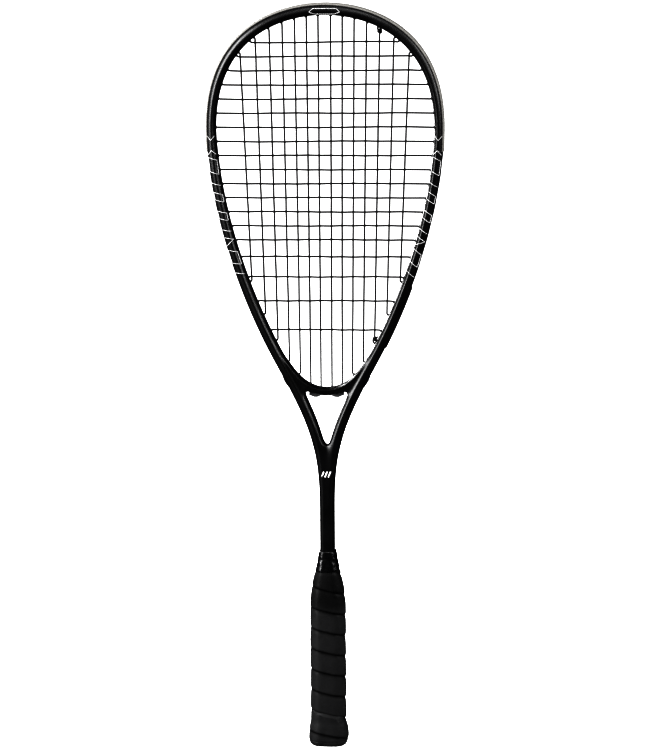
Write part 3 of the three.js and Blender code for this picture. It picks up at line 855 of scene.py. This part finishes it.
# ---- String -------------------------------------------------------------------------------------
# One coated nylon string about ten metres long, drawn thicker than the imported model's 1.2 mm. It is
# knotted at the foot of the fifth main on the right, makes all the mains, then the crosses from the
# throat up, and is knotted at the top of the same main. Mains and crosses bend round each other.

main_give = 0.5
cross_give = 1.05
channel_side = 1.3
turn_in = 2.2


def over(column, row):
    return 1 if (column + row) % 2 == 0 else -1


def column_of(number, side):
    return number if side > 0 else -1 - number


def main_at(number, side, z):
    """The main's x where it passes a height, or None where it doesn't reach."""
    top, bottom = (hole.mouth for hole in mains[side][number])
    share = (z - bottom[2]) / (top[2] - bottom[2])
    return bottom[0] + (top[0] - bottom[0]) * share if 0 < share < 1 else None


def cross_z(row, x):
    """A cross's height, given a tilt and a waver of a few tenths of a millimetre."""
    reach = crosses[row][1].mouth[0]
    tilt = 0.45 * x / reach if row < 8 else 0.15 * x / reach
    waver = 0.3 * math.sin(1.9 * row + 0.045 * x) * (1 - (x / reach) ** 2)
    return cross_heights[row] + tilt + waver


meetings = {}
for row in range(cross_count):
    for side in (1, -1):
        for number in range(mains_per_side):
            x = main_at(number, side, cross_heights[row])
            if x is not None and abs(x) < crosses[row][1].mouth[0] - 2:
                meetings.setdefault(("row", row), []).append((x, column_of(number, side)))
                meetings.setdefault(("column", column_of(number, side)), []).append((x, row))


def eased(stops, count=5):
    """Points through stops, easing in depth from each stop to the next."""
    route = [stops[0]]
    for start, end in zip(stops, stops[1:]):
        for k in range(1, count + 1):
            share = k / count
            point = start + (end - start) * share
            point[1] = start[1] + (end[1] - start[1]) * smoothstep(share, 0, 1)
            route.append(point)
    return route


def main_route(number, side):
    """The stops of a main from its top mouth down to its bottom mouth."""
    top, bottom = (hole.mouth for hole in mains[side][number])
    column = column_of(number, side)
    stops = [top]
    for x, row in sorted(meetings[("column", column)], key=lambda meeting: meeting[1]):
        stops.append(np.array([x, -over(column, row) * main_give, cross_z(row, x)]))
    return eased(stops + [bottom], 4)


def cross_route(row):
    """The stops of a cross from its left mouth to its right mouth."""
    stops = [crosses[row][-1].mouth]
    for x, column in sorted(meetings[("row", row)]):
        stops.append(np.array([x, over(column, row) * cross_give, cross_z(row, x)]))
    return eased(stops + [crosses[row][1].mouth], 5)


def channel_route(start, end, first_side, last_side=None, lift=0.0):
    """The run outside the hoop from one hole to the next, on one side of the channel."""
    last_side = first_side if last_side is None else last_side
    inset = turn_in * np.sign(end.q - start.q) / leg_length
    steps = max(3, round(abs(end.q - start.q) * leg_length / 3))
    route = []
    for k in range(steps + 1):
        spot = Spot(start.q + inset + (end.q - start.q - 2 * inset) * k / steps)
        side = first_side + (last_side - first_side) * smoothstep(k / steps, 0.3, 0.7)
        route.append(spot.at(channel_of(spot) + lift, side * channel_side))
    return route


def bridge_route(start, end):
    inset = np.array([turn_in * np.sign(end.exit[0] - start.exit[0]), 0, 0])
    lean = np.array([0, channel_side, 0])
    return [start.exit + inset + lean, end.exit - inset + lean]


def knot(hole, tie, onward, tail_length):
    """Two turns round the tied main, tight under its hole, from the tail's tip to the tie-off hole."""
    axis = (onward - hole.mouth) / np.linalg.norm(onward - hole.mouth)
    first, second = circle_frame(axis)
    towards = tie.mouth - hole.mouth
    phase = math.atan2(towards @ second, towards @ first)
    turns, rise, towards_hole = 2.3, 1.2, 0.4
    coil = []
    for k in range(31):
        share = k / 30
        angle = phase + 2 * math.pi * turns * share
        out = first * math.cos(angle) + second * math.sin(angle)
        coil.append(hole.mouth + out * 2 * string_radius + axis * (rise * turns * share - towards_hole))
    away_from = coil[-1] - coil[-2]
    tail = coil[-1] + away_from / np.linalg.norm(away_from) * tail_length + axis * 0.5
    return [tail] + coil[::-1] + [tie.mouth, tie.exit]


def string_route():
    last = mains_per_side - 1
    tied_top, tied_bottom = mains[1][tied_main]
    route = knot(tied_bottom, bottom_tie, tied_top.mouth, 2.6)
    route += channel_route(bottom_tie, mains[1][last][1], 0, lift=0.8)
    for side in (1, -1):
        order = range(last, -1, -1) if side > 0 else range(mains_per_side)
        for k, number in enumerate(order):
            top, bottom = mains[side][number]
            upward = (k % 2 == 0) == (side > 0)
            start, end = (bottom, top) if upward else (top, bottom)
            middle_part = main_route(number, side)
            route += [start.exit] + (middle_part[::-1] if upward else middle_part) + [end.exit]
            if k == last:
                continue
            landing = mains[side][order[k + 1]][0 if upward else 1]
            route += bridge_route(end, landing) if landing.q is None else channel_route(end, landing, 1)
        if side > 0:
            route += channel_route(mains[1][0][0], mains[-1][0][0], 1)
    lowest_row = cross_count - 1
    route += channel_route(mains[-1][last][1], crosses[lowest_row][-1], 1, -1)
    for row in range(lowest_row, -1, -1):
        rightward = (lowest_row - row) % 2 == 0
        side = 1 if rightward else -1
        middle_part = cross_route(row)
        middle_part = middle_part if rightward else middle_part[::-1]
        route += [crosses[row][-side].exit] + middle_part + [crosses[row][side].exit]
        if row > 0:
            route += channel_route(crosses[row][side], crosses[row - 1][side], -1)
    route += channel_route(crosses[0][1], top_tie, -1)
    return route + knot(tied_top, top_tie, tied_bottom.mouth, 1.2)[::-1]


def bend_corners(route, reach=1.1, sharp=0.25):
    """Replace each sharp corner by a short curve."""
    result = [route[0]]
    for before, here, after in zip(route, route[1:], route[2:]):
        back, forward = before - here, after - here
        back_length, forward_length = np.linalg.norm(back), np.linalg.norm(forward)
        if min(back_length, forward_length) < 1e-6:
            continue
        angle = math.pi - math.acos(np.clip(back @ forward / back_length / forward_length, -1, 1))
        if angle < sharp:
            result.append(here)
            continue
        start = here + back / back_length * min(reach, 0.45 * back_length)
        end = here + forward / forward_length * min(reach, 0.45 * forward_length)
        for k in range(5):
            t = k / 4
            result.append((1 - t) ** 2 * start + 2 * (1 - t) * t * here + t * t * end)
    return result + [route[-1]]


def tube(body, route, radius, sides):
    """A round tube along a route, its sections turned as little as possible."""
    line = np.array(route)
    steps = np.diff(line, axis=0)
    steps /= np.linalg.norm(steps, axis=1)[:, None]
    tangents = np.vstack([steps[:1], steps[:-1] + steps[1:], steps[-1:]])
    tangents /= np.linalg.norm(tangents, axis=1)[:, None]
    first, _ = circle_frame(tangents[0])
    angles = [2 * math.pi * k / sides for k in range(sides)]
    rings = []
    for point, tangent in zip(line, tangents):
        first = first - tangent * (first @ tangent)
        first /= np.linalg.norm(first)
        second = np.cross(tangent, first)
        rings.append([point + radius * (first * math.cos(a) + second * math.sin(a)) for a in angles])
    body.loft(rings)


string_body = Body()
tube(string_body, bend_corners(string_route()), string_radius, 10)
string_piece = make_piece("string", string_body.points, string_body.faces)

coated = finish("coated_string", (0.004, 0.004, 0.0045), 0.45, Specular_IOR_Level=0.2)
shades(coated, noise(coated, 45, 3), (0.003, 0.003, 0.0035), (0.008, 0.008, 0.0085))
feed(coated, spread(coated, noise(coated, 500, 3), 0.4, 0.6), "Roughness")
relief(coated, (noise(coated, 2500, 2), 0.00002))
settle(string_piece, coated, "string", "string_bed")

# ---- Handle shells ------------------------------------------------------------------------------
# Two half shells of rigid polyurethane foam, glued round the foot of the shaft. The grip hides them.

foam = finish("rigid_foam", (0.045, 0.045, 0.045), 0.85)
shades(foam, noise(foam, 400, 5), (0.03, 0.03, 0.03), (0.07, 0.07, 0.068))
cells = node(foam, "TexVoronoi", Vector=place_in(foam), Scale=900.0)
relief(foam, (cells.outputs["Distance"], 0.0002))
for name in ("handle_shell_front", "handle_shell_back"):
    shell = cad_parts[name]
    shell.data.materials.clear()
    shell.data.materials.append(foam)

# ---- Butt cap staples ---------------------------------------------------------------------------
# Zinc-plated wire staples through the cap's wide faces, under the grip.

zinc = finish("zinc_wire", (0.55, 0.55, 0.56), 0.32, Metallic=1.0)
feed(zinc, spread(zinc, noise(zinc, 900, 3), 0.25, 0.45), "Roughness")
shades(zinc, noise(zinc, 600, 3), (0.45, 0.45, 0.46), (0.62, 0.62, 0.63))
for name in ("butt_cap_staple_front", "butt_cap_staple_back"):
    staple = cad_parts[name]
    staple.data.materials.clear()
    staple.data.materials.append(zinc)

# ---- Handle section -----------------------------------------------------------------------------
# The handle is a long-sided octagon with soft corners. It flares over the butt cap, runs straight, and
# tapers in a cone to the shaft.

handle_table = {
    "height": [4.5, 8, 11.4, 15, 18.7, 22.4, 133, 141, 149.6, 157.9, 166.2, 171, 183],
    "half_width": [16.3, 16.5, 16.4, 16.05, 15.4, 14.5, 14.5, 13.75, 12.65, 10.95, 9.05, 7.75, 6.8],
    "half_depth": [14.4, 14.5, 14.4, 14.1, 13.5, 12.5, 12.5, 12.35, 12.1, 11.6, 11, 10.7, 10],
    "corner": [6.6, 6.7, 6.7, 6.6, 6.5, 6.5, 6.5, 6.2, 5.8, 5.2, 4.6, 4.2, 3.6],
}


def octagon_reach(angle, half_width, half_depth, corner, softness=14):
    """How far a soft-cornered octagon reaches from its axis in a direction."""
    across, deep = abs(math.cos(angle)), abs(math.sin(angle))
    slant = (half_width + half_depth - corner) / math.sqrt(2)
    sides = (across / half_width, deep / half_depth, (across + deep) / math.sqrt(2) / slant)
    return sum(side ** softness for side in sides) ** (-1 / softness)


def handle_reach(angle, z):
    """The foam handle's surface, eased between the heights of its table."""
    blur = 1.5
    sizes = []
    for key in ("half_width", "half_depth", "corner"):
        heights = [z + shift for shift in (-blur, 0, blur)]
        values = np.interp(heights, handle_table["height"], handle_table[key])
        sizes.append(sum(values) / 3)
    return octagon_reach(angle, *sizes)


def around(angle, reach, z):
    return (reach * math.cos(angle), reach * math.sin(angle), z)


# ---- Butt cap -----------------------------------------------------------------------------------
# A moulded rubber cap with a rounded rim. Its end face carries a raised ring and a plain hexagon.

cap_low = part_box("butt_cap")[0].z * 1000
cap_sides = 96
cap_profile = [
    (0.0, 0.5), (0.30, 0.5), (0.33, 0.2), (0.36, 0.0),
    (0.74, 0.0), (0.76, 0.35), (0.78, 0.35), (0.80, 0.0),
    (0.84, 0.15), (0.89, 0.7), (0.935, 1.5), (0.97, 2.4), (0.995, 3.6), (1.0, 4.6), (0.975, 5.2), (0.93, 5.3),
    (0.91, 6.5), (0.87, 14.0), (0.82, 21.5), (0.75, 21.5), (0.75, 3.2), (0.0, 3.2),
]
cap_rim = {"half_width": 17.6, "half_depth": 15.8, "corner": 7.2}
cap = Body()
cap_rings = []
for share, z in cap_profile[1:-1]:
    ring = []
    for k in range(cap_sides):
        angle = 2 * math.pi * k / cap_sides
        outer = octagon_reach(angle, *cap_rim.values())
        six = 0.5 * math.cos(math.pi / 6) / math.cos((angle % (math.pi / 3)) - math.pi / 6) * 2
        inner = cap_rim["half_depth"] * (six if share < 0.4 else 1)
        mix_share = min(max((share - 0.4) / 0.3, 0), 1)
        ring.append(around(angle, share * (inner + (outer - inner) * mix_share), cap_low + z))
    cap_rings.append(ring)
cap.loft(cap_rings)
cap_piece = make_piece("butt_cap_skin", cap.points, cap.faces)

cap_rubber = finish("cap_rubber", (0.01, 0.01, 0.01), 0.6, Specular_IOR_Level=0.35)
shades(cap_rubber, noise(cap_rubber, 130, 4), (0.008, 0.008, 0.008), (0.018, 0.018, 0.018))
feed(cap_rubber, spread(cap_rubber, noise(cap_rubber, 260, 4), 0.5, 0.72), "Roughness")
relief(cap_rubber, (noise(cap_rubber, 1500, 3), 0.00004))
settle(cap_piece, cap_rubber, "cap_rubber", "butt_cap")

# ---- Grip ---------------------------------------------------------------------------------------
# A tacky polyurethane strip wound up the handle from the butt. Each turn laps over the one below, so
# its lower edge stands up in a soft bead over a valley. The valleys and the cone at the top are painted
# darker: painted shade.

grip_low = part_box("grip_tape")[0].z * 1000
grip_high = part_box("grip_tape")[1].z * 1000
grip_pitch = 19.4
grip_thickness = 1.5
lap = 0.4
grip_sides = 120
grip_step = 0.45
seam_on_front = 108.0
front_angle = -math.pi / 2


def seam_phase(angle, z):
    """0 at a seam, rising to 1 at the next one up. The seams fall from left to right on the front."""
    turn_share = (angle - front_angle) / (2 * math.pi)
    return ((z - seam_on_front) / grip_pitch + turn_share) % 1.0


def valley_at(phase):
    """1 in the valley under a turn's lower edge, fading into the turns on either side."""
    return max(math.exp(-(phase * grip_pitch / 1.1) ** 2), math.exp(-((1 - phase) * grip_pitch / 2.0) ** 2))


def lap_height(phase):
    """The strip's surface above the handle: thick at its lower edge, then falling, with a low crown."""
    crown = 0.18 * math.sin(math.pi * phase)
    return grip_thickness + lap * (0.5 - phase) + crown - 0.6 * valley_at(phase)


def wander(angle, z):
    """Small lumps where the strip was pulled tight over the handle's corners."""
    return 0.08 * math.sin(3 * angle + 0.11 * z) + 0.05 * math.sin(5 * angle - 0.23 * z + 1.3)


grip = Body()
grip_rings = []
seam_shade_marks = []
cone_shade_values = []
fillet = 1.2
for z in np.arange(grip_low, grip_high + 0.01, grip_step):
    ring = []
    ends = max(min(z - grip_low, grip_high - z, fillet), 0) / fillet
    taper = (0.35 + 0.65 * math.sqrt(ends * (2 - ends))) * (1 - 0.5 * smoothstep(z, 160, 166))
    for k in range(grip_sides):
        angle = 2 * math.pi * k / grip_sides
        phase = seam_phase(angle, z)
        height = (lap_height(phase) + wander(angle, z)) * taper
        ring.append(around(angle, handle_reach(angle, z) + fit_gap + height, z))
        seam_shade_marks.append(valley_at(phase))
        # The cone above the straight part is marked for painted shade, with a slanted lower edge.
        cone_shade_values.append(smoothstep(z - 5 * math.sin(angle), 129, 139))
    grip_rings.append(ring)
under = []
for z in (grip_high, grip_low):
    angles = [2 * math.pi * k / grip_sides for k in range(grip_sides)]
    under.append([around(angle, handle_reach(angle, z) + 0.1, z) for angle in angles])
grip.loft(grip_rings + under, closed=True)
grip_piece = make_piece("wound_grip", grip.points, grip.faces)
for name, values in (("seam", seam_shade_marks), ("painted_cone_shade", cone_shade_values)):
    layer = grip_piece.data.attributes.new(name, "FLOAT", "POINT")
    layer.data.foreach_set("value", values + [0.0] * (2 * grip_sides))

tacky = finish("tacky_polyurethane", (0.02, 0.02, 0.021), 0.55, Specular_IOR_Level=0.25,
               Sheen_Weight=0.02, Sheen_Roughness=0.4)
patches = spread(tacky, noise(tacky, 70, 5, 0.6), 0.75, 1.25)
seam = node(tacky, "Attribute", {"attribute_name": "seam"}).outputs["Fac"]
painted_cone_shade = node(tacky, "Attribute", {"attribute_name": "painted_cone_shade"}).outputs["Fac"]
# Painted shade: the seam valleys are painted darker, down to an eighth of the strip's colour.
seam_painted_shade = spread(tacky, seam, 1.0, 0.12, 0.0, 0.9)
# Painted shade: the marked cone is painted darker, down to about a quarter of the strip's colour.
cone_shade_tone = spread(tacky, painted_cone_shade, 1.0, 0.28, 0.0, 1.0)
tone = times(tacky, times(tacky, seam_painted_shade, cone_shade_tone), patches)
shades(tacky, tone, (0.001, 0.001, 0.001), (0.0155, 0.0155, 0.016), 0.0, 1.4)
feed(tacky, spread(tacky, noise(tacky, 120, 4), 0.46, 0.66), "Roughness")
pebbles = node(tacky, "TexVoronoi", {"feature": "SMOOTH_F1"}, Vector=place_in(tacky), Scale=1250.0)
relief(tacky, (pebbles.outputs["Distance"], 0.00012), (noise(tacky, 260, 4), 0.00015))
settle(grip_piece, tacky, "grip_polyurethane", "grip_tape")

# ---- Finishing tape -----------------------------------------------------------------------------
# Glossy vinyl tape stretched twice round the top of the grip and the foot of the shaft. It wrinkles
# where it steps down from the grip, and its lower edge runs at a slant.

tape_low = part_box("finishing_tape")[0].z * 1000
tape_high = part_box("finishing_tape")[1].z * 1000
tape_sides = 120
tape_levels = 44
tape = Body()
tape_rings = []


tape_table = {
    "height": [164, 166.2, 169, 171.7, 174.5, 177.3, 180, 182, 183],
    "half_width": [11.3, 10.8, 10.0, 9.35, 8.95, 8.7, 8.3, 7.9, 7.3],
    "half_depth": [12.9, 12.7, 12.3, 11.8, 11.3, 11.1, 10.9, 10.7, 10.2],
    "corner": [5.4, 5.1, 4.8, 4.4, 4.2, 4, 3.8, 3.7, 3.4],
}


def tape_reach(angle, z):
    """Turns of tape over the grip's end and down onto the shaft, wrinkled where they step down."""
    keys = ("half_width", "half_depth", "corner")
    values = [np.interp(z, tape_table["height"], tape_table[key]) for key in keys]
    wrinkle = 0.13 * math.sin(7 * angle + 0.9 * z) * smoothstep(z, 168, 172) * (1 - smoothstep(z, 177, 180))
    turn_edge = 0.2 * (1 - smoothstep(z - 1.2 * math.cos(angle), 175.4, 176.2))
    return octagon_reach(angle, *values) + wrinkle - 0.2 + turn_edge


for level in range(tape_levels + 1):
    ring = []
    for k in range(tape_sides):
        angle = 2 * math.pi * k / tape_sides
        low_edge = tape_low + 1.6 + 1.6 * math.sin(angle + 0.5)
        z = low_edge + (tape_high - low_edge) * level / tape_levels
        ends = min(level, tape_levels - level, 2) / 2
        ring.append(around(angle, tape_reach(angle, z) - 0.35 + 0.35 * ends, z))
    tape_rings.append(ring)
inner_rings = [[(x * 0.93, y * 0.95, z) for x, y, z in ring] for ring in (tape_rings[-1], tape_rings[0])]
tape.loft(tape_rings + inner_rings, closed=True)
tape_piece = make_piece("vinyl_finishing_tape", tape.points, tape.faces)

vinyl = finish("glossy_vinyl", (0.004, 0.004, 0.0045), 0.25, Specular_IOR_Level=0.4)
shades(vinyl, noise(vinyl, 200, 3), (0.002, 0.002, 0.0025), (0.005, 0.005, 0.0055))
feed(vinyl, spread(vinyl, noise(vinyl, 320, 3), 0.2, 0.36), "Roughness")
along = node(vinyl, "Mapping", Vector=place_in(vinyl), Scale=(1.0, 1.0, 3.5)).outputs["Vector"]
relief(vinyl, (noise(vinyl, 130, 4, 0.6, along), 0.00035), (noise(vinyl, 900, 2), 0.00003))
settle(tape_piece, vinyl, "vinyl_tape", "finishing_tape")

# ---- Printed marks ------------------------------------------------------------------------------
# White screen print on the lacquer, front and back: a plain hatch of thin outlined slashes down each
# side of the head, an outlined lozenge at the tip and three short bars on the shaft.

bpy.context.view_layer.update()
seen = bpy.context.evaluated_depsgraph_get()
surface_tree = BVHTree.FromObject(frame_piece, seen)
ink_lift = 0.05
line_half = 0.18
print_reach = 0.84
thinnest_wall = 0.0012


def on_surface(x, z, face):
    """The frame's surface seen from the front (-1) or the back (1), lifted by the ink's thickness."""
    start = Vector((x * 0.001, face * 0.05, z * 0.001))
    place, normal, _, _ = surface_tree.ray_cast(start, Vector((0, -face, 0)))
    if place is None or abs(place.y) < thinnest_wall:
        return None
    return np.array(place + normal * (ink_lift * 0.001)) * 1000


ink = Body()


def print_line(path, face, half=line_half, step=0.7):
    """A thin printed line through plan points, pressed onto the surface. It stops at the frame's edge."""
    run = []
    for (x0, z0), (x1, z1) in zip(path, path[1:]):
        length = math.hypot(x1 - x0, z1 - z0)
        count = max(2, int(length / step))
        side_x, side_z = -(z1 - z0) / length * half, (x1 - x0) / length * half
        for k in range(count + 1):
            x, z = x0 + (x1 - x0) * k / count, z0 + (z1 - z0) * k / count
            pair = (on_surface(x + side_x, z + side_z, face), on_surface(x - side_x, z - side_z, face))
            run.append(None if pair[0] is None or pair[1] is None else pair)
        run.append(None)
    previous = None
    for pair in run:
        if pair is None:
            previous = None
            continue
        here = ink.ring(pair)
        if previous is not None:
            ink.faces.append((previous[0], previous[1], here[1], here[0]))
        previous = here


def on_member(down, sideways, side, q_top):
    """A place on one side of the head: mm down the member, and -1 to 1 from its left to its right edge."""
    spot = Spot(to_side(q_top - down / leg_length, side))
    x, _, z = spot.at(side * sideways * print_reach * spot.width, 0)
    return (x, z)


# The motif down each side: a kind of outline, its height in mm and the space under it.
motif = [
    ("chevron", 4, 9), ("arrow", 4, 2), ("box", 13, 7), ("slash", 0, 5), ("box", 7, 7), ("box", 7, 7),
    ("slash", 0, 4), ("bent", 8, 4), ("box", 12, 6), ("slash", 0, 0),
]
slope = 3.4


def outlines(kind, top, height):
    left, right = (top, -1), (top + slope, 1)
    if kind == "slash":
        return [[left, right]]
    if kind == "chevron":
        return [[(top, -1), (top + height, 0), (top, 1)]]
    if kind == "arrow":
        return [[(top + height, -1), (top, 0), (top + height, 1)]]
    if kind == "bent":
        return [[left, right, (top + height, -1)]]
    return [[left, right, (top + slope + height, 1), (top + height, -1), left]]


motif_top = q_at_height(565)
for face in (-1, 1):
    for side in (1, -1):
        down = 0
        for kind, height, space in motif:
            for outline in outlines(kind, down, height):
                print_line([on_member(s, t, side, motif_top) for s, t in outline], face)
            down += height + space + (slope if kind in ("slash", "box") else 0)
    lozenge = [(-14, 0.6), (-10.5, 3.4), (10.5, 3.4), (14, 0.6), (9, -1.6), (-9, -1.6)]
    tip_outline = [(x + 1, hoop_top - 1.8 + z - x * x / 230) for x, z in lozenge]
    print_line(tip_outline + tip_outline[:1], face)
    for bar in (-1, 0, 1):
        x = 3.1 * bar
        print_line([(x - 1.1, 252.4), (x + 1.1, 257.8)], face, 0.65, 0.5)

white_ink = finish("white_print", (0.48, 0.48, 0.48), 0.5)
shades(white_ink, noise(white_ink, 900, 4), (0.4, 0.4, 0.4), (0.55, 0.55, 0.55))
relief(white_ink, (noise(white_ink, 2200, 3), 0.00002))
ink_piece = make_piece("printed_marks", ink.points, ink.faces)
thickness = ink_piece.modifiers.new("thickness", "SOLIDIFY")
thickness.thickness = 0.00008
thickness.offset = -1
settle(ink_piece, white_ink, "frame_lacquer")
